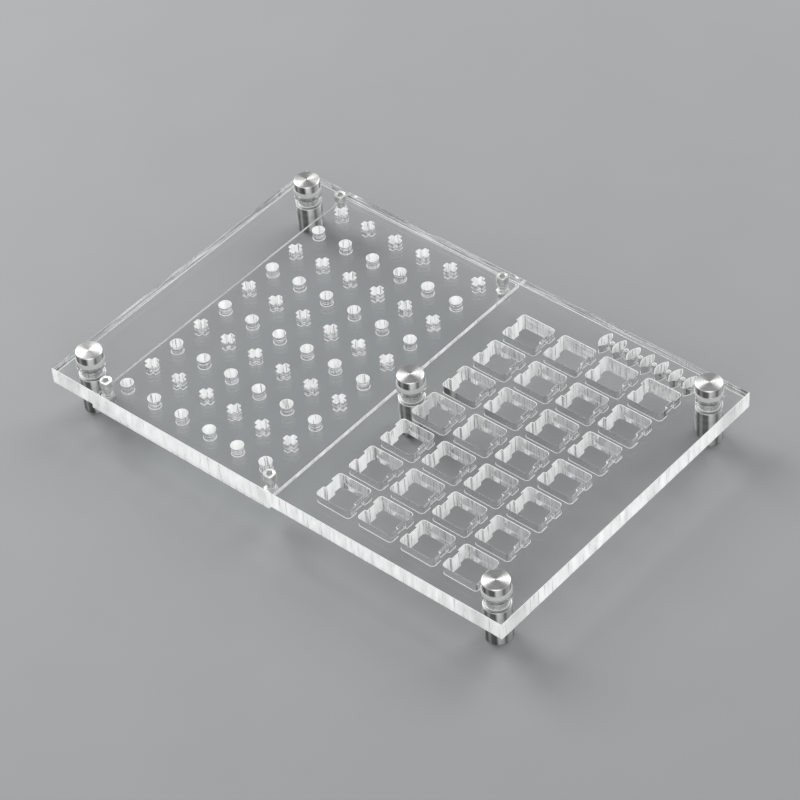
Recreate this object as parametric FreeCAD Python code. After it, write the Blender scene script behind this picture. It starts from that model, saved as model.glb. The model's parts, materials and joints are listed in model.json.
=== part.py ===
"""Lubricating tray for mechanical-keyboard switches.

A thick clear acrylic board stands on five turned standoff posts. Its left half has a grid of
plus-shaped holes for switch stems and round holes for springs, closed underneath by a thin
backing sheet that four small screws hold on. Its right half has square windows for switch
housings, and a row of cut-through ornament behind them. Each post is a barrel under the board
and a plain cap above it, joined by a threaded stud, with clear washers on both faces of
the board and a frosted ring under the cap. The cap unscrews by hand.

Frame, in millimetres: X along the board's long side, Y along its short side, Z up. The origin is
on the surface that the posts stand on, under the middle of the board. "Front" is -Y.
"""
import FreeCAD, Part
import math
import os

# ---- board and backing sheet -------------------------------------------------------------
board_length = 240.0
board_width = 160.0
board_thick = 8.0
board_under = 15.0                        # height of the board's lower face
board_top = board_under + board_thick

sheet_thick = 2.0
sheet_left = -97.6
sheet_right = 0.5
sheet_under = board_under - sheet_thick

# ---- stem and spring holes ---------------------------------------------------------------
hole_columns = 6
hole_rows = 10
hole_first_x = -88.35
hole_pitch_x = 15.39
hole_pitch_y = 15.0
hole_last_y = 67.5                        # the row nearest the back holds stems
stem_span = 5.9                           # overall size of a plus
stem_arm = 2.3                            # width of one arm of a plus
spring_hole_r = 2.65

# ---- housing windows ---------------------------------------------------------------------
window_columns = 4
window_rows = 7
window_first_x = 25.4
window_pitch_x = 21.63
window_last_y = 55.4
window_pitch_y = 19.55
window_length = 17.0                      # along X
window_width = 14.7                       # along Y
window_corner_r = 1.5
tab_depth = 1.1                           # the tabs stand in from the two short walls
tab_length = 5.2

# ---- ornament cut through behind the windows ---------------------------------------------
leaf_count = 7
leaf_first_x = 54.0
leaf_pitch = 7.2
leaf_centre_y = 70.4
leaf_length = 9.0
leaf_width = 4.0
dot_r = 0.9                               # a dot between each two leaves

# ---- standoff posts ----------------------------------------------------------------------
post_inset = 11.7                         # from the board's edges to a corner post's axis
middle_post_x = 8.3
post_r = 5.75                             # barrel and cap
post_chamfer = 0.4
board_post_hole_r = 4.6
washer_r = 6.15
lower_washer_thick = 0.5
upper_washer_thick = 2.0
ring_thick = 2.0
cap_thick = 4.0
stud_r = 3.0
stud_length = 24.0
stud_top_gap = 1.2                        # cap material left above the stud
stud_chamfer = 0.5
running_gap = 0.06                        # radial, stud to barrel and ring
loose_gap = 0.4                           # radial, stud to washers
tapped_gap = 0.01                         # radial, stud to the cap it is fixed in
barrel_floor = 4.5
barrel_screw_hole_r = 2.1

# ---- sheet screws and nuts (M3) ----------------------------------------------------------
screw_front_y = -73.8
screw_rear_y = 73.8
screw_left_x = -94.0
screw_right_x = -3.3
screw_r = 1.5
screw_length = 14.0                       # under the head
screw_head_r = 2.75
screw_head_height = 3.0
screw_head_chamfer = 0.25
hex_socket_across = 2.5
hex_socket_depth = 1.6
screw_hole_r = 1.7
nut_across = 5.5
nut_thick = 2.4
nut_bore_gap = 0.02

post_places = {
    "front_left": (post_inset - board_length / 2, post_inset - board_width / 2),
    "front_right": (board_length / 2 - post_inset, post_inset - board_width / 2),
    "rear_right": (board_length / 2 - post_inset, board_width / 2 - post_inset),
    "rear_left": (post_inset - board_length / 2, board_width / 2 - post_inset),
    "middle": (middle_post_x, 0.0),
}
screw_places = {
    "front_left": (screw_left_x, screw_front_y),
    "front_right": (screw_right_x, screw_front_y),
    "rear_right": (screw_right_x, screw_rear_y),
    "rear_left": (screw_left_x, screw_rear_y),
}
UP = FreeCAD.Vector(0, 0, 1)


def vec(x, y, z=0.0):
    return FreeCAD.Vector(x, y, z)


def save(name, shape):
    shape.exportStep(f"parts/{name}.step")
    print(f"{name:28s} {shape.Volume:12.1f} mm3  valid {shape.isValid()}")


# ---- outlines, all at z = 0 --------------------------------------------------------------
def rectangle(left, right, front, rear):
    corners = [vec(left, front), vec(right, front), vec(right, rear), vec(left, rear)]
    return Part.makePolygon(corners + corners[:1])


def circle(x, y, radius):
    return Part.Wire([Part.makeCircle(radius, vec(x, y))])


def plus(x, y):
    """A plus with its arms along X and Y."""
    tip = stem_span / 2
    arm = stem_arm / 2
    quarter = [(tip, arm), (arm, arm), (arm, tip)]
    corners = []
    for turn in range(4):
        for px, py in quarter:
            for _ in range(turn):
                px, py = -py, px
            corners.append(vec(x + px, y + py))
    return Part.makePolygon(corners + corners[:1])


def window(x, y):
    """A rounded rectangle with a tab standing in from each of its two short walls."""
    half_x = window_length / 2
    half_y = window_width / 2
    r = window_corner_r
    edges = []
    for side in (1, -1):
        wall = side * half_x
        tab = side * (half_x - tab_depth)
        run = [
            (wall, -side * (half_y - r)),
            (wall, -side * tab_length / 2),
            (tab, -side * tab_length / 2),
            (tab, side * tab_length / 2),
            (wall, side * tab_length / 2),
            (wall, side * (half_y - r)),
        ]
        points = [vec(x + px, y + py) for px, py in run]
        for a, b in zip(points, points[1:]):
            edges.append(Part.makeLine(a, b))
        # round the corner that follows, and run along the long wall
        centre = (side * (half_x - r), side * (half_y - r))
        bend = r * math.sqrt(0.5)
        mid = vec(x + centre[0] + side * bend, y + centre[1] + side * bend)
        end = vec(x + centre[0], y + side * half_y)
        edges.append(Part.Arc(points[-1], mid, end).toShape())
        far_start = vec(x - centre[0], y + side * half_y)
        edges.append(Part.makeLine(end, far_start))
        far_mid = vec(x - centre[0] - side * bend, y + centre[1] + side * bend)
        far_end = vec(x - wall, y + centre[1])
        edges.append(Part.Arc(far_start, far_mid, far_end).toShape())
    return Part.Wire(Part.__sortEdges__(edges))


def leaf(x, y):
    """A pointed leaf: two arcs that meet at its tips."""
    tip_high = vec(x, y + leaf_length / 2)
    tip_low = vec(x, y - leaf_length / 2)
    right = Part.Arc(tip_low, vec(x + leaf_width / 2, y), tip_high).toShape()
    left = Part.Arc(tip_high, vec(x - leaf_width / 2, y), tip_low).toShape()
    return Part.Wire([right, left])


def plate(outline, holes, lower, thick):
    """A flat plate with straight-sided holes through it."""
    face = Part.makeFace([outline] + holes, "Part::FaceMakerBullseye")
    face.translate(vec(0, 0, lower))
    return face.extrude(UP * thick)


# ---- hole layout -------------------------------------------------------------------------
def stem_and_spring_holes():
    """Rows of stem holes and rows of spring holes take turns, from a stem row at the back."""
    holes = []
    for row in range(hole_rows):
        y = hole_last_y - row * hole_pitch_y
        for column in range(hole_columns):
            x = hole_first_x + column * hole_pitch_x
            if row % 2 == 0:
                holes.append(plus(x, y))
            else:
                holes.append(circle(x, y, spring_hole_r))
    return holes


def windows():
    holes = []
    for row in range(window_rows):
        for column in range(window_columns):
            x = window_first_x + column * window_pitch_x
            holes.append(window(x, window_last_y - row * window_pitch_y))
    return holes


def ornament():
    holes = []
    for index in range(leaf_count):
        x = leaf_first_x + index * leaf_pitch
        holes.append(leaf(x, leaf_centre_y))
        if index < leaf_count - 1:
            holes.append(circle(x + leaf_pitch / 2, leaf_centre_y, dot_r))
    return holes


def screw_holes():
    return [circle(x, y, screw_hole_r) for x, y in screw_places.values()]


# ---- solids ------------------------------------------------------------------------------
def make_board():
    outline = rectangle(-board_length / 2, board_length / 2, -board_width / 2, board_width / 2)
    post_holes = [circle(x, y, board_post_hole_r) for x, y in post_places.values()]
    holes = stem_and_spring_holes() + windows() + ornament() + screw_holes() + post_holes
    return plate(outline, holes, board_under, board_thick)


def make_sheet():
    outline = rectangle(sheet_left, sheet_right, -board_width / 2, board_width / 2)
    return plate(outline, screw_holes(), sheet_under, sheet_thick)


def turned(profile, x, y):
    """A solid of revolution about a vertical axis through x, y, from (radius, z) points."""
    points = [vec(radius, 0, z) for radius, z in profile]
    face = Part.Face(Part.makePolygon(points + points[:1]))
    solid = face.revolve(vec(0, 0), UP, 360)
    solid.translate(vec(x, y))
    return solid


def disc_ring(outer, inner, lower, thick, x, y):
    upper = lower + thick
    return turned([(inner, lower), (outer, lower), (outer, upper), (inner, upper)], x, y)


def make_barrel(x, y):
    top = board_under - lower_washer_thick
    c = post_chamfer
    bore = stud_r + running_gap
    hole = barrel_screw_hole_r
    profile = [
        (hole, 0),
        (post_r - c, 0),
        (post_r, c),
        (post_r, top - c),
        (post_r - c, top),
        (bore, top),
        (bore, barrel_floor),
        (hole, barrel_floor),
    ]
    return turned(profile, x, y)


def make_cap(lower, x, y):
    top = lower + cap_thick
    c = post_chamfer
    hole = stud_r + tapped_gap
    hole_top = top - stud_top_gap
    profile = [
        (0, hole_top),
        (hole, hole_top),
        (hole, lower),
        (post_r - c / 2, lower),
        (post_r, lower + c / 2),
        (post_r, top - c),
        (post_r - c, top),
        (0, top),
    ]
    return turned(profile, x, y)


def make_stud(top, x, y):
    c = stud_chamfer
    low = top - stud_length
    profile = [
        (0, low),
        (stud_r - c, low),
        (stud_r, low + c),
        (stud_r, top - c),
        (stud_r - c, top),
        (0, top),
    ]
    return turned(profile, x, y)


def make_post(name, x, y):
    lower_washer_z = board_under - lower_washer_thick
    ring_z = board_top + upper_washer_thick
    cap_z = ring_z + ring_thick
    stud_top = cap_z + cap_thick - stud_top_gap
    save(f"barrel_{name}", make_barrel(x, y))
    save(f"lower_washer_{name}",
         disc_ring(post_r, stud_r + loose_gap, lower_washer_z, lower_washer_thick, x, y))
    save(f"upper_washer_{name}",
         disc_ring(washer_r, stud_r + loose_gap, board_top, upper_washer_thick, x, y))
    save(f"ring_{name}", disc_ring(washer_r, stud_r + running_gap, ring_z, ring_thick, x, y))
    save(f"cap_{name}", make_cap(cap_z, x, y))
    save(f"stud_{name}", make_stud(stud_top, x, y))


def hexagon(across, x, y, z):
    """A hexagon with flats facing +X and -X."""
    corner_r = across / math.sqrt(3)
    corners = []
    for index in range(6):
        angle = math.radians(30 + 60 * index)
        corners.append(vec(x + corner_r * math.cos(angle), y + corner_r * math.sin(angle), z))
    return Part.Face(Part.makePolygon(corners + corners[:1]))


def make_screw(x, y):
    head_top = board_top + screw_head_height
    c = screw_head_chamfer
    tip = board_top - screw_length
    profile = [
        (0, tip),
        (screw_r - c, tip),
        (screw_r, tip + c),
        (screw_r, board_top),
        (screw_head_r, board_top),
        (screw_head_r, head_top - c),
        (screw_head_r - c, head_top),
        (0, head_top),
    ]
    socket = hexagon(hex_socket_across, x, y, head_top - hex_socket_depth)
    return turned(profile, x, y).cut(socket.extrude(UP * (hex_socket_depth + 1)))


def make_nut(x, y):
    low = sheet_under - nut_thick
    body = hexagon(nut_across, x, y, low).extrude(UP * nut_thick)
    bore = Part.makeCylinder(screw_r + nut_bore_gap, nut_thick + 2, vec(x, y, low - 1))
    corner_r = nut_across / math.sqrt(3)
    flat_r = nut_across / 2
    slope = (corner_r - flat_r) * math.tan(math.radians(30))
    rounded = turned([
        (0, low),
        (flat_r, low),
        (corner_r, low + slope),
        (corner_r, low + nut_thick - slope),
        (flat_r, low + nut_thick),
        (0, low + nut_thick),
    ], x, y)
    return body.common(rounded).cut(bore)


def main():
    os.makedirs("parts", exist_ok=True)
    save("main_board", make_board())
    save("backing_sheet", make_sheet())
    for name, (x, y) in post_places.items():
        make_post(name, x, y)
    for name, (x, y) in screw_places.items():
        save(f"sheet_screw_{name}", make_screw(x, y))
        save(f"sheet_nut_{name}", make_nut(x, y))


main()
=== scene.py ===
"""Looks of the keyboard-switch lubricating tray: clear acrylic, laser-cut edges, turned metal posts.

Metres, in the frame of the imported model. Every visible node is replaced by a detailed mesh that is
built here from the node's own box and from the driving sizes below.
"""
import json
import math

import bmesh
import bpy
from mathutils import Matrix, Vector


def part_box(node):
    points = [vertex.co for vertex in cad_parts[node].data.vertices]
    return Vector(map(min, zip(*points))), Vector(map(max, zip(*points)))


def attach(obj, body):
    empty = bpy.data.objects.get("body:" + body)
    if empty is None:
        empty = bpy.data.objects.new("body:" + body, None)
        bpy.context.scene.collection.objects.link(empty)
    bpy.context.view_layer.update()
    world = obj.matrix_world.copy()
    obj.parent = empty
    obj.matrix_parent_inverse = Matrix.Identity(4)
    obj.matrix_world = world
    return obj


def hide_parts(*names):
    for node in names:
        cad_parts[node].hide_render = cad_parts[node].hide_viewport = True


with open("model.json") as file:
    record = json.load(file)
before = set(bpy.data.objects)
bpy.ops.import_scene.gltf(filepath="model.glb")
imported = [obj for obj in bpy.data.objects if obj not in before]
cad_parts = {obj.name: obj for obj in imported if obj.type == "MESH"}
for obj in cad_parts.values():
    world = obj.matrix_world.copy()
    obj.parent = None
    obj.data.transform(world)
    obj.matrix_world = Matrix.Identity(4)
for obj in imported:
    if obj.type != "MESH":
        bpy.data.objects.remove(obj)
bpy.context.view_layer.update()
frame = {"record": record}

MM = 0.001

# ---- driving sizes, in metres --------------------------------------------------------------
HOLE_COLUMNS = 6
HOLE_ROWS = 10
HOLE_FIRST_X = -88.35 * MM
HOLE_PITCH_X = 15.39 * MM
HOLE_PITCH_Y = 15.0 * MM
HOLE_LAST_Y = 67.5 * MM
STEM_SPAN = 5.9 * MM
STEM_ARM = 2.3 * MM
STEM_FILLET = 0.28 * MM
SPRING_HOLE_R = 2.65 * MM

WINDOW_LENGTH = 17.0 * MM
WINDOW_WIDTH = 14.7 * MM
WINDOW_CORNER_R = 1.5 * MM
TAB_DEPTH = 1.1 * MM
TAB_LENGTH = 5.2 * MM
TAB_FILLET = 0.3 * MM

LEAF_COUNT = 7
LEAF_FIRST_X = 54.0 * MM
LEAF_PITCH = 7.2 * MM
LEAF_CENTRE_Y = 70.4 * MM
LEAF_LENGTH = 9.0 * MM
LEAF_WIDTH = 4.0 * MM
DOT_R = 0.9 * MM

BOARD_POST_HOLE_R = 4.6 * MM
SCREW_HOLE_R = 1.7 * MM
EDGE_BREAK = 0.20 * MM                    # the small break along every cut edge
AIR_FILM = 0.04 * MM                      # between clear faces that lie on each other

THREAD_PITCH = 1.0 * MM
THREAD_DEPTH = 0.5 * MM
STUD_R = 3.0 * MM
BARREL_BORE_R = 3.06 * MM
BARREL_SCREW_HOLE_R = 2.1 * MM
BARREL_FLOOR = 4.5 * MM
BARREL_BOTTOM_BREAK = 0.3 * MM            # at the screw hole's mouth
BORE_BREAK = 0.2 * MM                     # at the mouth of a threaded bore
POST_CHAMFER = 0.4 * MM
CAP_ROOF = 1.2 * MM                       # metal above the stud's end
CAP_CENTRE_R = 0.35 * MM                  # the lathe's mark in the middle of a cap
CAP_CENTRE_DEPTH = 0.07 * MM
LOOSE_BORE_R = 3.4 * MM

SCREW_THREAD_PITCH = 0.5 * MM
SCREW_THREAD_DEPTH = 0.22 * MM
SCREW_R = 1.5 * MM
SCREW_HEAD_HEIGHT = 3.0 * MM
HEX_SOCKET_ACROSS = 2.5 * MM
HEX_SOCKET_DEPTH = 1.6 * MM
KNURL_DEPTH = 0.05 * MM
KNURL_COUNT = 36
NUT_ACROSS = 5.5 * MM

ACRYLIC_IOR = 1.49
CUT_TINT = (0.55, 0.55, 0.55, 1)          # the share of the light that a cut wall lets through
FLOOR_HALF = 4.0                          # metres

POSTS = ("front_left", "front_right", "rear_right", "rear_left", "middle")
SCREWS = ("front_left", "front_right", "rear_right", "rear_left")


def centre_xy(node):
    low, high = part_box(node)
    return (low[0] + high[0]) / 2, (low[1] + high[1]) / 2


# ---- flat outlines -------------------------------------------------------------------------
def circle(x, y, radius, steps=48):
    turn = 2 * math.pi / steps
    return [(x + radius * math.cos(turn * i), y + radius * math.sin(turn * i)) for i in range(steps)]


def rounded(corners, radii, steps=5):
    """The outline through corners, each one rounded to its radius by an arc."""
    points = []
    count = len(corners)
    for i, radius in enumerate(radii):
        here = Vector(corners[i])
        back = (Vector(corners[i - 1]) - here).normalized()
        ahead = (Vector(corners[(i + 1) % count]) - here).normalized()
        half = back.angle(ahead) / 2
        middle = here + (back + ahead).normalized() * radius / math.sin(half)
        start = here + back * radius / math.tan(half) - middle
        end = here + ahead * radius / math.tan(half) - middle
        sweep = start.angle_signed(end)
        for step in range(steps + 1):
            turned = start.copy()
            turned.rotate(Matrix.Rotation(-sweep * step / steps, 2))
            points.append(tuple(middle + turned))
    return points


def plus(x, y):
    tip = STEM_SPAN / 2
    arm = STEM_ARM / 2
    corners = []
    for turn in range(4):
        for px, py in ((tip, -arm), (tip, arm), (arm, arm)):
            for _ in range(turn):
                px, py = -py, px
            corners.append((x + px, y + py))
    return rounded(corners, [STEM_FILLET] * len(corners), steps=4)


def window(x, y):
    half_x = WINDOW_LENGTH / 2
    half_y = WINDOW_WIDTH / 2
    inner = half_x - TAB_DEPTH
    tab = TAB_LENGTH / 2
    corners = []
    radii = []
    for side in (1, -1):
        corners += [
            (x + side * half_x, y - side * half_y),
            (x + side * half_x, y - side * tab),
            (x + side * inner, y - side * tab),
            (x + side * inner, y + side * tab),
            (x + side * half_x, y + side * tab),
            (x + side * half_x, y + side * half_y),
        ]
        radii += [WINDOW_CORNER_R] + [TAB_FILLET] * 4 + [WINDOW_CORNER_R]
    return rounded(corners, radii)


def leaf(x, y, steps=12):
    """Two arcs that meet at the leaf's tips."""
    half_l = LEAF_LENGTH / 2
    half_w = LEAF_WIDTH / 2
    radius = (half_l ** 2 + half_w ** 2) / (2 * half_w)
    reach = math.asin(half_l / radius)
    points = []
    for side in (1, -1):
        for step in range(steps):
            angle = -reach + 2 * reach * step / steps
            px = radius * math.cos(angle) - (radius - half_w)
            points.append((x + side * px, y + side * radius * math.sin(angle)))
    return points


def stem_and_spring_holes():
    holes = []
    for row in range(HOLE_ROWS):
        y = HOLE_LAST_Y - row * HOLE_PITCH_Y
        for column in range(HOLE_COLUMNS):
            x = HOLE_FIRST_X + column * HOLE_PITCH_X
            holes.append(plus(x, y) if row % 2 == 0 else circle(x, y, SPRING_HOLE_R))
    return holes


def windows():
    holes = []
    for opening in frame["record"]["physics"]["openings"]:
        low, high = opening["box_m"]
        holes.append(window((low[0] + high[0]) / 2, (low[1] + high[1]) / 2))
    return holes


def ornament():
    holes = []
    for index in range(LEAF_COUNT):
        x = LEAF_FIRST_X + index * LEAF_PITCH
        holes.append(leaf(x, LEAF_CENTRE_Y))
        if index < LEAF_COUNT - 1:
            holes.append(circle(x + LEAF_PITCH / 2, LEAF_CENTRE_Y, DOT_R, 24))
    return holes


def screw_holes():
    return [circle(*centre_xy(f"sheet_screw_{name}"), SCREW_HOLE_R, 32) for name in SCREWS]


def post_holes():
    return [circle(*centre_xy(f"cap_{name}"), BOARD_POST_HOLE_R, 64) for name in POSTS]


# ---- mesh building -------------------------------------------------------------------------
def finish_mesh(name, bm, materials, crease_deg=30):
    mesh = bpy.data.meshes.new(name)
    bm.to_mesh(mesh)
    bm.free()
    mesh.polygons.foreach_set("use_smooth", [True] * len(mesh.polygons))
    mesh.set_sharp_from_angle(angle=math.radians(crease_deg))
    for material in materials:
        mesh.materials.append(material)
    piece = bpy.data.objects.new(name, mesh)
    bpy.context.scene.collection.objects.link(piece)
    return piece


def place(piece, node, body, slot):
    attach(piece, body)
    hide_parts(node)


def shifted(points, distance):
    """The closed outline moved to its left by distance."""
    moved = []
    count = len(points)
    for i in range(count):
        here = Vector(points[i])
        into = (here - Vector(points[i - 1])).normalized()
        out = (Vector(points[(i + 1) % count]) - here).normalized()
        side = Vector((-into.y - out.y, into.x + out.x))
        share = side.length_squared / 2
        moved.append(tuple(here + side * distance / share))
    return moved


def plate(name, outline, hole_groups, low, high, materials):
    """A plate with straight holes. The materials are for its flat faces, its outer edges, the
    breaks along every edge, and then the walls of each group of holes. Material lies to the left
    of every outline, so holes run clockwise."""
    bm = bmesh.new()
    levels = ((low, EDGE_BREAK), (low + EDGE_BREAK, 0), (high - EDGE_BREAK, 0), (high, EDGE_BREAK))
    rims = {low: [], high: []}
    walls = [(outline, 1)]
    for group, holes in enumerate(hole_groups):
        walls += [(hole[::-1], 3 + group) for hole in holes]
    for points, wall_material in walls:
        rings = []
        for z, inset in levels:
            ring = [bm.verts.new((x, y, z)) for x, y in shifted(points, inset)]
            rings.append(ring)
        for level, (a, b) in enumerate(zip(rings, rings[1:])):
            for i in range(len(a)):
                j = (i + 1) % len(a)
                wall = bm.faces.new((a[i], a[j], b[j], b[i]))
                wall.material_index = wall_material if level == 1 else 2
        for z, ring in ((low, rings[0]), (high, rings[-1])):
            for i in range(len(ring)):
                rims[z].append(bm.edges.get((ring[i - 1], ring[i])))
    for z, up in ((low, -1), (high, 1)):
        made = bmesh.ops.triangle_fill(bm, use_beauty=True, edges=rims[z], normal=(0, 0, up))
        for item in made["geom"]:
            if isinstance(item, bmesh.types.BMFace):
                item.material_index = 0
                if item.normal.z * up < 0:
                    item.normal_flip()
    return finish_mesh(name, bm, materials)


def lathe(bm, profile, x, y, steps=96, closed=True, radius_at=None):
    """Turns a (radius, z) profile about the vertical axis through x, y. A point at radius 0 is one
    vertex. radius_at(radius, angle, z) may change a point's radius. Each point keeps its place
    from the axis, in millimetres, as the attribute "turning"."""
    turning = bm.verts.layers.float_vector.new("turning")
    rings = []
    for radius, z in profile:
        ring = []
        for i in range(steps if radius else 1):
            angle = 2 * math.pi * i / steps
            r = radius_at(radius, angle, z) if radius_at else radius
            around = (math.cos(angle), math.sin(angle))
            vert = bm.verts.new((x + r * around[0], y + r * around[1], z))
            vert[turning] = (r * around[0] / MM, r * around[1] / MM, z / MM)
            ring.append(vert)
        rings.append(ring)
    pairs = list(zip(rings, rings[1:]))
    if closed:
        pairs.append((rings[-1], rings[0]))
    for a, b in pairs:
        for i in range(steps):
            j = (i + 1) % steps
            corners = [a[i % len(a)], a[j % len(a)], b[j % len(b)], b[i % len(b)]]
            face = list(dict.fromkeys(corners))
            if len(face) > 2:
                bm.faces.new(face)


def corner_arc(radius, z, size, quarter, steps=4):
    """Profile points of a rounded corner. quarter 0 turns from facing -Z to facing outwards, 1 from
    outwards to +Z, 2 from +Z to inwards and 3 from inwards to -Z. radius and z are the corner's."""
    centre_r = radius - size if quarter in (0, 1) else radius + size
    centre_z = z + size if quarter in (0, 3) else z - size
    first = math.radians(-90 + 90 * quarter)
    points = []
    for step in range(steps + 1):
        angle = first + math.radians(90) * step / steps
        points.append((centre_r + size * math.cos(angle), centre_z + size * math.sin(angle)))
    return points


def ring_profile(inner, outer, low, high, soft):
    """A washer's section, anticlockwise from its lower outer corner, with softened corners."""
    return (
        corner_arc(outer, low, soft, 0)
        + corner_arc(outer, high, soft, 1)
        + corner_arc(inner, high, soft, 2)
        + corner_arc(inner, low, soft, 3)
    )


def washer(name, node, body, slot, material, inner, gap=0.0):
    low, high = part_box(node)
    x, y = centre_xy(node)
    outer = (high[0] - low[0]) / 2
    thick = high[2] - low[2]
    bm = bmesh.new()
    profile = ring_profile(inner, outer, low[2] + gap, high[2] - gap, min(0.25 * MM, thick * 0.3))
    lathe(bm, profile, x, y)
    place(finish_mesh(name, bm, [material]), node, body, slot)


def thread_profile(share, depth):
    """How far a thread's surface lies under its crest, at a share of a pitch along it."""
    share = abs(share % 1.0 - 0.5) * 2
    return depth * min(1.0, max(0.0, (1 - share) * 1.25 - 0.125))


def threaded_rod(bm, x, y, radius, low, high, pitch, depth, lead_in, steps=40, per_pitch=8):
    """A rod with a right-hand thread and bevelled ends."""
    rows = round((high - low) / pitch * per_pitch)
    rings = []
    for row in range(rows + 1):
        z = low + (high - low) * row / rows
        end = min(z - low, high - z)
        limit = radius - max(0.0, lead_in - end)
        ring = []
        for i in range(steps):
            angle = 2 * math.pi * i / steps
            r = radius - thread_profile(z / pitch - i / steps, depth)
            r = min(r, limit)
            ring.append(bm.verts.new((x + r * math.cos(angle), y + r * math.sin(angle), z)))
        rings.append(ring)
    for a, b in zip(rings, rings[1:]):
        for i in range(steps):
            j = (i + 1) % steps
            bm.faces.new((a[i], a[j], b[j], b[i]))
    bm.faces.new(list(reversed(rings[0])))
    bm.faces.new(rings[-1])


# ---- material helpers ----------------------------------------------------------------------
class Nodes:
    """Short calls to build one material's node tree."""

    def __init__(self, name):
        self.material = bpy.data.materials.new(name)
        self.material.use_nodes = True
        self.tree = self.material.node_tree
        self.tree.nodes.clear()
        self.out = self.tree.nodes.new("ShaderNodeOutputMaterial")

    def put(self, value, socket):
        """Links an output to the socket, or sets the socket to a value."""
        if isinstance(value, bpy.types.NodeSocket):
            self.link(value, socket)
        else:
            socket.default_value = value

    def add(self, kind, **values):
        """A new node. Each value is for the property or the input of that name."""
        node = self.tree.nodes.new(kind)
        for key, value in values.items():
            if hasattr(node, key):
                setattr(node, key, value)
            else:
                self.put(value, node.inputs[key.replace("_", " ")])
        return node

    def link(self, a, b):
        self.tree.links.new(a, b)

    def place(self, scale):
        """Object coordinates in millimetres, times scale."""
        coords = self.add("ShaderNodeTexCoord")
        mapping = self.add("ShaderNodeMapping", Vector=coords.outputs["Object"])
        mapping.inputs["Scale"].default_value = [s / MM for s in scale]
        return mapping.outputs["Vector"]

    def noise(self, scale, detail, rough=0.5, stretch=(1, 1, 1)):
        node = self.add("ShaderNodeTexNoise", Scale=scale, Detail=detail, Roughness=rough,
                        Vector=self.place(stretch))
        return node.outputs["Fac"]

    def ramp(self, value, stops):
        node = self.add("ShaderNodeValToRGB")
        elements = node.color_ramp.elements
        while len(elements) < len(stops):
            elements.new(0.5)
        for element, (at, shade) in zip(elements, stops):
            element.position = at
            element.color = (*shade, 1) if isinstance(shade, tuple) else (shade, shade, shade, 1)
        self.link(value, node.inputs["Fac"])
        return node.outputs["Color"]

    def spread(self, value, low, high):
        """A value from 0 to 1, spread from low to high."""
        node = self.add("ShaderNodeMapRange", Value=value, To_Min=low, To_Max=high)
        return node.outputs["Result"]

    def bump(self, height, distance, strength):
        node = self.add("ShaderNodeBump", Height=height, Distance=distance, Strength=strength)
        return node.outputs["Normal"]

    def maths(self, operation, *values, clamp=False):
        node = self.add("ShaderNodeMath", operation=operation, use_clamp=clamp)
        for value, socket in zip(values, node.inputs):
            self.put(value, socket)
        return node.outputs[0]

    def parts(self, vector):
        """A vector's X, Y and Z."""
        return self.add("ShaderNodeSeparateXYZ", Vector=vector).outputs

    def blended(self, share, first, second):
        """Two colours mixed, where share is how much of the second."""
        mix = self.add("ShaderNodeMix", data_type="RGBA", Factor=share)
        self.put(first, mix.inputs[6])
        self.put(second, mix.inputs[7])
        return mix.outputs[2]

    def mixed(self, share, first, second):
        """Two surfaces mixed, where share is how much of the second."""
        mix = self.add("ShaderNodeMixShader", Fac=share)
        self.link(first, mix.inputs[1])
        self.link(second, mix.inputs[2])
        return mix.outputs[0]

    def with_painted_glow(self, surface, colour, strength):
        """The surface with painted light of its own added, though it is no lamp."""
        light = self.add("ShaderNodeEmission", Color=colour, Strength=strength)
        both = self.add("ShaderNodeAddShader")
        self.link(surface, both.inputs[0])
        self.link(light.outputs[0], both.inputs[1])
        return both.outputs[0]

    def principled(self, **values):
        return self.add("ShaderNodeBsdfPrincipled", **values)

    def let_light_through(self, surface, tint):
        """Light from the lamps, and light that the floor scatters, passes straight through, as it
        nearly does through a clear plate."""
        rays = self.add("ShaderNodeLightPath")
        clear = self.add("ShaderNodeBsdfTransparent", Color=tint)
        for ray in ("Is Diffuse Ray", "Is Shadow Ray"):
            surface = self.mixed(rays.outputs[ray], surface, clear.outputs[0])
        return surface

    def done(self, surface):
        self.link(surface, self.out.inputs["Surface"])
        return self.material


# ---- materials -----------------------------------------------------------------------------
def clear_acrylic():
    """Polished cast acrylic, with hairline scratches and a little dust."""
    n = Nodes("clear_acrylic")
    dust = n.ramp(n.noise(0.9, 2.0), [(0.70, 0.0), (0.78, 1.0)])
    hair = n.ramp(n.noise(0.5, 4.0, 0.6, (1.0, 9.0, 1.0)), [(0.60, 0.0), (0.68, 1.0)])
    rough = n.spread(dust, 0.0, 0.12)
    normal = n.bump(hair, 0.002 * MM, 0.35)
    shader = n.principled(
        Base_Color=(0.992, 0.993, 0.993, 1),
        IOR=ACRYLIC_IOR,
        Transmission_Weight=1.0,
        Roughness=rough,
        Normal=normal,
    )
    return n.done(n.let_light_through(shader.outputs[0], (0.96, 0.97, 0.97, 1)))


def glass_share(n, patches, lines, outside, inside, clearer_y_painted_light):
    """How much of a cut wall is glass, by the side it is seen from and the way it faces."""
    geometry = n.add("ShaderNodeNewGeometry")
    seen_outside = n.ramp(patches, [(0.38, outside[0]), (0.62, outside[1])])
    seen_inside = n.ramp(lines, [(0.42, inside[0]), (0.52, inside[1])])
    share = n.blended(geometry.outputs["Backfacing"], seen_outside, seen_inside)
    # painted light and shade: walls that face along Y get more glass and so less white, for how the
    # lamps fall, while walls that face along X stay white
    along_y = n.maths("ABSOLUTE", n.parts(geometry.outputs["True Normal"])["Y"])
    return n.maths("MULTIPLY_ADD", along_y, clearer_y_painted_light, share, clamp=True)


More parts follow.
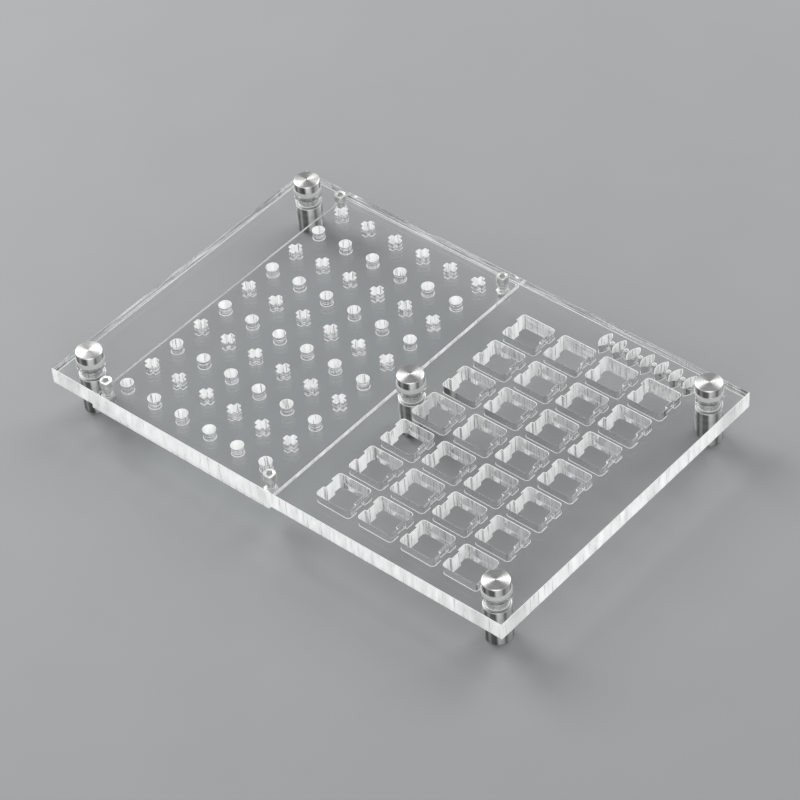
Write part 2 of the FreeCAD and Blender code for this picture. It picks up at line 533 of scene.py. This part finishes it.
def cut_acrylic(name, darkest, glass_outside, glass_inside, clearer_y_painted_light, painted_glow):
    """A laser-cut wall: frosted white over glass. From the air it shows upright drag marks as dark
    as darkest, and from within the acrylic thin level lines. Each share is a (least, most) pair:
    how much is glass, seen from the air or from within. clearer_y_painted_light is added to it on
    walls that face along Y, so they show less white than walls facing along X: painted light and
    shade, for how the lamps fall. The frosted part gives off painted light of its own at the
    strength given last, though it is no lamp."""
    n = Nodes(name)
    marks = n.noise(1.4, 4.0, 0.6, (1.0, 1.0, 0.04))
    patches = n.noise(0.30, 3.0, 0.55, (1.0, 1.0, 0.16))
    lines = n.noise(1.6, 2.0, 0.5, (0.03, 0.03, 1.0))
    height = n.maths("ADD", marks, patches)
    normal = n.bump(height, 0.05 * MM, 0.6)
    white = n.ramp(marks, [(0.36, darkest), (0.47, 1.0)])
    frost = n.add("ShaderNodeBsdfTranslucent", Color=white, Normal=normal)
    chalk = n.add("ShaderNodeBsdfDiffuse", Color=white, Normal=normal)
    # painted light: the frosted part gives off light of its own, though it is no lamp
    body = n.with_painted_glow(n.mixed(0.4, frost.outputs[0], chalk.outputs[0]), white, painted_glow)
    glass = n.principled(
        Base_Color=(0.97, 0.98, 0.98, 1),
        IOR=ACRYLIC_IOR,
        Transmission_Weight=1.0,
        Roughness=n.spread(patches, 0.03, 0.10),
        Normal=n.bump(height, 0.02 * MM, 0.5),
    )
    share = glass_share(n, patches, lines, glass_outside, glass_inside, clearer_y_painted_light)
    wall = n.mixed(share, body, glass.outputs[0])
    return n.done(n.let_light_through(wall, CUT_TINT))


def rim_acrylic():
    """The small break along a cut edge, which catches the light as a thin white line. It also
    gives off painted light of its own, though it is no lamp.
    """
    n = Nodes("rim_acrylic")
    white = n.ramp(n.noise(3.0, 2.0), [(0.35, 0.80), (0.55, 1.0)])
    chalk = n.principled(Base_Color=white, Roughness=0.25)
    # painted light: the rim gives off light of its own, though it is no lamp
    rim = n.with_painted_glow(chalk.outputs[0], white, 0.25)
    return n.done(n.let_light_through(rim, CUT_TINT))


def turned_metal():
    """Bright turned steel. Fine grooves run round the axis, so highlights fan out from it on the
    end faces and stand upright on the sides. The sides also carry painted reflections, dark and
    bright upright stripes in their colour, and the chamfers a painted highlight, a near-white
    colour."""
    n = Nodes("turned_metal")
    tangent = n.add("ShaderNodeTangent", direction_type="RADIAL", axis="Z")
    turning = n.add("ShaderNodeAttribute", attribute_name="turning")
    place = n.parts(turning.outputs["Vector"])
    across = n.add("ShaderNodeCombineXYZ", X=place["X"], Y=place["Y"])
    radius = n.add("ShaderNodeVectorMath", operation="LENGTH", Vector=across.outputs[0])
    rings = n.add("ShaderNodeTexNoise", noise_dimensions="1D", Scale=2.2, Detail=4.0,
                  W=radius.outputs["Value"]).outputs["Fac"]
    # painted reflection: noise round the axis that the sides' colour turns into dark and bright
    # upright stripes
    painted_reflection_bands = n.add("ShaderNodeTexNoise", Scale=0.30, Detail=1.5, Roughness=0.6,
                  Vector=across.outputs[0]).outputs["Fac"]
    face = n.ramp(rings, [(0.38, (0.46, 0.46, 0.45)), (0.56, (0.66, 0.66, 0.65))])
    side = n.ramp(painted_reflection_bands, [
        (0.38, (0.16, 0.16, 0.16)),
        (0.48, (0.46, 0.46, 0.45)),
        (0.60, (0.84, 0.84, 0.83)),
    ])
    upward = n.parts(n.add("ShaderNodeNewGeometry").outputs["Normal"])["Z"]
    flat = n.ramp(upward, [(0.25, 0.0), (0.50, 1.0)])
    # painted highlight: the chamfers, picked out by how steeply they face up, get a near-white
    # colour
    chamfer = n.ramp(upward, [(0.40, 0.0), (0.60, 1.0), (0.80, 1.0), (0.95, 0.0)])
    shader = n.principled(
        Base_Color=n.blended(chamfer, n.blended(flat, side, face), (0.97, 0.97, 0.96, 1)),
        Metallic=1.0,
        Roughness=n.spread(rings, 0.40, 0.50),
        Anisotropic=0.80,
        Anisotropic_Rotation=0.25,
        Tangent=tangent.outputs[0],
        Normal=n.bump(rings, 0.01 * MM, 0.3),
    )
    return n.done(shader.outputs[0])


def thread_steel():
    n = Nodes("thread_steel")
    grain = n.noise(3.0, 4.0, 0.6)
    shader = n.principled(
        Base_Color=n.ramp(grain, [(0.3, (0.50, 0.50, 0.49)), (0.7, (0.68, 0.68, 0.67))]),
        Metallic=1.0,
        Roughness=n.spread(grain, 0.18, 0.38),
        Normal=n.bump(grain, 0.02 * MM, 0.4),
    )
    return n.done(shader.outputs[0])


def screw_steel():
    n = Nodes("screw_steel")
    grain = n.noise(2.0, 5.0, 0.65)
    shader = n.principled(
        Base_Color=n.ramp(grain, [(0.3, (0.70, 0.70, 0.69)), (0.7, (0.86, 0.86, 0.85))]),
        Metallic=1.0,
        Roughness=n.spread(grain, 0.34, 0.50),
        Normal=n.bump(grain, 0.015 * MM, 0.4),
    )
    return n.done(shader.outputs[0])


def clear_washer():
    n = Nodes("clear_washer")
    cloud = n.noise(0.6, 3.0)
    shader = n.principled(
        Base_Color=(0.95, 0.96, 0.96, 1),
        IOR=1.45,
        Transmission_Weight=1.0,
        Roughness=n.spread(cloud, 0.04, 0.22),
        Normal=n.bump(cloud, 0.05 * MM, 0.3),
    )
    return n.done(n.let_light_through(shader.outputs[0], (0.85, 0.86, 0.86, 1)))


def frosted_ring():
    n = Nodes("frosted_ring")
    cloud = n.noise(1.2, 4.0)
    white = n.ramp(cloud, [(0.3, 0.86), (0.7, 0.97)])
    frost = n.add("ShaderNodeBsdfTranslucent", Color=white)
    skin = n.principled(
        Base_Color=white,
        Roughness=0.35,
        Normal=n.bump(cloud, 0.03 * MM, 0.4),
    )
    # painted light: the ring gives off light of its own, though it is no lamp, to lift it out of the
    # shade under the cap
    ring = n.with_painted_glow(n.mixed(0.5, frost.outputs[0], skin.outputs[0]), white, 0.18)
    return n.done(n.let_light_through(ring, (0.5, 0.5, 0.5, 1)))


def floor_paper():
    n = Nodes("floor_paper")
    shade = n.noise(0.02, 2.0)
    shader = n.principled(
        Base_Color=n.ramp(shade, [(0.3, (0.325, 0.33, 0.335)), (0.7, (0.335, 0.34, 0.345))]),
        Roughness=0.6,
    )
    return n.done(shader.outputs[0])


acrylic = clear_acrylic()
# for each wall, clearer_y_painted_light paints light and shade by the way the wall faces, and the
# last number is the strength of its painted light of its own
window_wall = cut_acrylic("cut_acrylic", 0.30, (0.00, 0.15), (0.62, 0.94), 0.62, 0.25)
small_wall = cut_acrylic("small_hole_acrylic", 0.35, (0.00, 0.10), (0.30, 0.85), 0.10, 0.35)
edge_wall = cut_acrylic("edge_acrylic", 0.62, (0.00, 0.30), (0.45, 0.92), 0.0, 0.36)
bolt_wall = cut_acrylic("bolt_hole_acrylic", 0.50, (0.00, 0.30), (0.30, 0.65), 0.0, 0.06)
rim_with_painted_light = rim_acrylic()
post_metal = turned_metal()
stud_metal = thread_steel()
screw_metal = screw_steel()
washer_clear = clear_washer()
ring_frosted = frosted_ring()


# ---- board and sheet -----------------------------------------------------------------------
def rectangle(low, high):
    return [(low[0], low[1]), (high[0], low[1]), (high[0], high[1]), (low[0], high[1])]


def make_board():
    low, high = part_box("main_board")
    groups = [stem_and_spring_holes(), windows() + ornament(), screw_holes() + post_holes()]
    board = plate("board", rectangle(low, high), groups, low[2], high[2],
                  [acrylic, edge_wall, rim_with_painted_light, small_wall, window_wall, bolt_wall])
    place(board, "main_board", "base", "acrylic_board")


def make_sheet():
    low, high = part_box("backing_sheet")
    top = high[2] - AIR_FILM
    sheet = plate("sheet", rectangle(low, high), [screw_holes()], low[2], top,
                  [acrylic, edge_wall, rim_with_painted_light, bolt_wall])
    place(sheet, "backing_sheet", "base", "acrylic_sheet")


# ---- posts ---------------------------------------------------------------------------------
def make_barrel(name):
    node = f"barrel_{name}"
    low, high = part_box(node)
    x, y = centre_xy(node)
    r = (high[0] - low[0]) / 2
    c = POST_CHAMFER
    soft = 0.08 * MM
    top = high[2] - AIR_FILM
    bm = bmesh.new()
    profile = [
        (BARREL_SCREW_HOLE_R, low[2] + BARREL_BOTTOM_BREAK),
        (BARREL_SCREW_HOLE_R + BARREL_BOTTOM_BREAK, low[2]),
        (r - c - soft, low[2]),
        (r - c, low[2] + soft / 3),
        (r - soft / 3, low[2] + c),
        (r, low[2] + c + soft),
        (r, top - c - soft),
        (r - soft / 3, top - c),
        (r - c, top - soft / 3),
        (r - c - soft, top),
        (BARREL_BORE_R + BORE_BREAK, top),
        (BARREL_BORE_R, top - BORE_BREAK),
        (BARREL_BORE_R, BARREL_FLOOR),
        (BARREL_SCREW_HOLE_R, BARREL_FLOOR),
    ]
    lathe(bm, profile, x, y)
    place(finish_mesh(f"barrel_{name}_turned", bm, [post_metal]), node, "base", "post_metal")


def make_cap(name):
    node = f"cap_{name}"
    low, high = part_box(node)
    x, y = centre_xy(node)
    r = (high[0] - low[0]) / 2
    c = POST_CHAMFER
    soft = 0.06 * MM
    top = high[2]
    bottom = low[2] + AIR_FILM
    hole_top = top - CAP_ROOF
    hole_r = STUD_R + 0.01 * MM
    bm = bmesh.new()
    profile = [
        (0, hole_top),
        (hole_r, hole_top),
        (hole_r, bottom),
        (r - c / 2, bottom),
        (r, bottom + c / 2),
        (r, top - c - soft),
        (r - soft / 3, top - c),
        (r - c, top - soft / 3),
        (r - c - soft, top),
        (CAP_CENTRE_R, top),
        (0.15 * MM, top - 0.06 * MM),
        (0, top - CAP_CENTRE_DEPTH),
    ]
    lathe(bm, profile, x, y, closed=False)
    body = f"turning_{name}"
    place(finish_mesh(f"cap_{name}_turned", bm, [post_metal]), node, body, "post_metal")


def make_stud(name):
    node = f"stud_{name}"
    low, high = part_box(node)
    x, y = centre_xy(node)
    bm = bmesh.new()
    threaded_rod(bm, x, y, STUD_R, low[2], high[2], THREAD_PITCH, THREAD_DEPTH, 0.6 * MM)
    body = f"turning_{name}"
    place(finish_mesh(f"stud_{name}_threaded", bm, [stud_metal], 50), node, body, "stud_metal")


def make_post(name):
    make_barrel(name)
    make_cap(name)
    make_stud(name)
    washer(f"washer_under_{name}", f"lower_washer_{name}", "base", "clear_washer",
           washer_clear, LOOSE_BORE_R, AIR_FILM)
    washer(f"washer_over_{name}", f"upper_washer_{name}", "base", "clear_washer",
           washer_clear, LOOSE_BORE_R, AIR_FILM)
    washer(f"ring_{name}_frosted", f"ring_{name}", f"lifting_{name}", "frosted_ring",
           ring_frosted, BARREL_BORE_R)


# ---- sheet screws --------------------------------------------------------------------------
def hexagon_radius(across, angle):
    """Distance from a hexagon's centre to its side in that direction; flats face +X and -X."""
    off = (angle + math.radians(30)) % math.radians(60) - math.radians(30)
    return across / 2 / math.cos(off)


def make_screw(name):
    node = f"sheet_screw_{name}"
    low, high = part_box(node)
    x, y = centre_xy(node)
    r = (high[0] - low[0]) / 2
    top = high[2]
    seat = top - SCREW_HEAD_HEIGHT
    across = HEX_SOCKET_ACROSS
    c = 0.25 * MM

    def knurled(radius, angle, z):
        ridged = radius > r - 0.01 * MM and seat + 0.4 * MM < z < top - c
        return radius - (KNURL_DEPTH if ridged and math.sin(angle * KNURL_COUNT) > 0 else 0)

    def hexed(radius, angle, z):
        if radius > across / 2 + 0.02 * MM:
            return knurled(radius, angle, z)
        return hexagon_radius(across, angle) * radius / (across / 2)

    bm = bmesh.new()
    head = [
        (SCREW_R - 0.05 * MM, seat + AIR_FILM),
        (r - 0.1 * MM, seat + AIR_FILM),
        (r, seat + AIR_FILM + 0.1 * MM),
        (r, seat + 0.39 * MM),
        (r, seat + 0.45 * MM),
        (r, top - c - 0.05 * MM),
        (r - 0.02 * MM, top - c),
        (r - c, top),
        (across / 2 + 0.3 * MM, top),
        (across / 2, top - 0.12 * MM),
        (across / 2, top - HEX_SOCKET_DEPTH),
        (0, top - HEX_SOCKET_DEPTH - 0.4 * MM),
    ]
    lathe(bm, head, x, y, steps=144, closed=False, radius_at=hexed)
    threaded_rod(bm, x, y, SCREW_R, low[2], seat + AIR_FILM, SCREW_THREAD_PITCH, SCREW_THREAD_DEPTH,
                 0.3 * MM, steps=28, per_pitch=6)
    place(finish_mesh(f"screw_{name}_socket_head", bm, [screw_metal]), node, "base", "screw_metal")


def make_nut(name):
    node = f"sheet_nut_{name}"
    low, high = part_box(node)
    x, y = centre_xy(node)
    bottom = low[2]
    top = high[2] - AIR_FILM
    flat = NUT_ACROSS / 2
    bore = SCREW_R + 0.02 * MM
    slope = math.tan(math.radians(30))

    def hexed(radius, angle, z):
        return hexagon_radius(NUT_ACROSS, angle) if radius > flat else radius

    bm = bmesh.new()
    lathe(bm, [
        (bore + BORE_BREAK, bottom),
        (flat - 0.05 * MM, bottom),
        (flat + 0.001 * MM, bottom + 0.02 * MM),
        (flat + 0.001 * MM, top - 0.02 * MM),
        (flat - 0.05 * MM, top),
        (bore + BORE_BREAK, top),
        (bore, top - BORE_BREAK),
        (bore, bottom + BORE_BREAK),
    ], x, y, radius_at=hexed)
    for vert in bm.verts:
        spread = math.hypot(vert.co.x - x, vert.co.y - y) - flat
        drop = max(0.0, spread) * slope
        vert.co.z = min(max(vert.co.z, bottom + drop), top - drop)
    place(finish_mesh(f"nut_{name}_hex", bm, [screw_metal]), node, "base", "screw_metal")


make_board()
make_sheet()
for post in POSTS:
    make_post(post)
for screw in SCREWS:
    make_screw(screw)
    make_nut(screw)


# ---- floor, lights and camera --------------------------------------------------------------
def make_floor():
    bm = bmesh.new()
    bmesh.ops.create_grid(bm, x_segments=8, y_segments=8, size=FLOOR_HALF)
    floor = finish_mesh("floor", bm, [floor_paper()])


def area_light(name, place_at, look_at, size, power):
    data = bpy.data.lights.new(name, "AREA")
    data.shape = "RECTANGLE"
    data.size, data.size_y = size
    data.energy = power
    lamp = bpy.data.objects.new(name, data)
    bpy.context.scene.collection.objects.link(lamp)
    lamp.location = place_at
    aim = Vector(look_at) - Vector(place_at)
    lamp.rotation_euler = aim.to_track_quat("-Z", "Y").to_euler()
    # lamp light already passes the acrylic in its shadow rays, so it isn't counted twice
    lamp.visible_transmission = False


def make_lights():
    world = bpy.data.worlds.new("studio")
    world.use_nodes = True
    sky = world.node_tree.nodes["Background"]
    sky.inputs["Color"].default_value = (0.97, 0.98, 1.0, 1)
    sky.inputs["Strength"].default_value = 0.25
    bpy.context.scene.world = world
    bpy.context.scene.view_settings.view_transform = "Standard"
    area_light("key", (-1.10, 0.13, 0.95), (0, 0, 0), (0.75, 0.75), 14)
    area_light("rim", (0.10, 1.15, 0.85), (0, 0, 0), (0.9, 0.8), 9)
    area_light("front", (0.95, -1.10, 0.90), (0, 0, 0), (1.6, 1.3), 12)


def make_camera():
    """The viewing angle: azimuth and elevation of the eye, a small roll, and a long lens."""
    azimuth = math.radians(43.36)
    elevation = math.radians(43.29)
    roll = math.radians(-4.63)
    distance = 1.3078
    target = Vector((9.08 * MM, -8.12 * MM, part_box("main_board")[1][2]))
    back = Vector((
        math.sin(azimuth) * math.cos(elevation),
        -math.cos(azimuth) * math.cos(elevation),
        math.sin(elevation),
    ))
    level = (-back).cross(Vector((0, 0, 1))).normalized()
    upright = level.cross(-back)
    right = level * math.cos(roll) + upright * math.sin(roll)
    up = upright * math.cos(roll) - level * math.sin(roll)
    data = bpy.data.cameras.new("camera")
    data.sensor_width = 36.0
    data.lens = 144.6
    data.clip_start = 0.05
    data.clip_end = 20.0
    camera = bpy.data.objects.new("camera", data)
    camera.matrix_world = Matrix.Translation(target + back * distance) @ Matrix(
        (right, up, back)
    ).transposed().to_4x4()
    bpy.context.scene.collection.objects.link(camera)
    bpy.context.scene.camera = camera


make_floor()
make_lights()
make_camera()
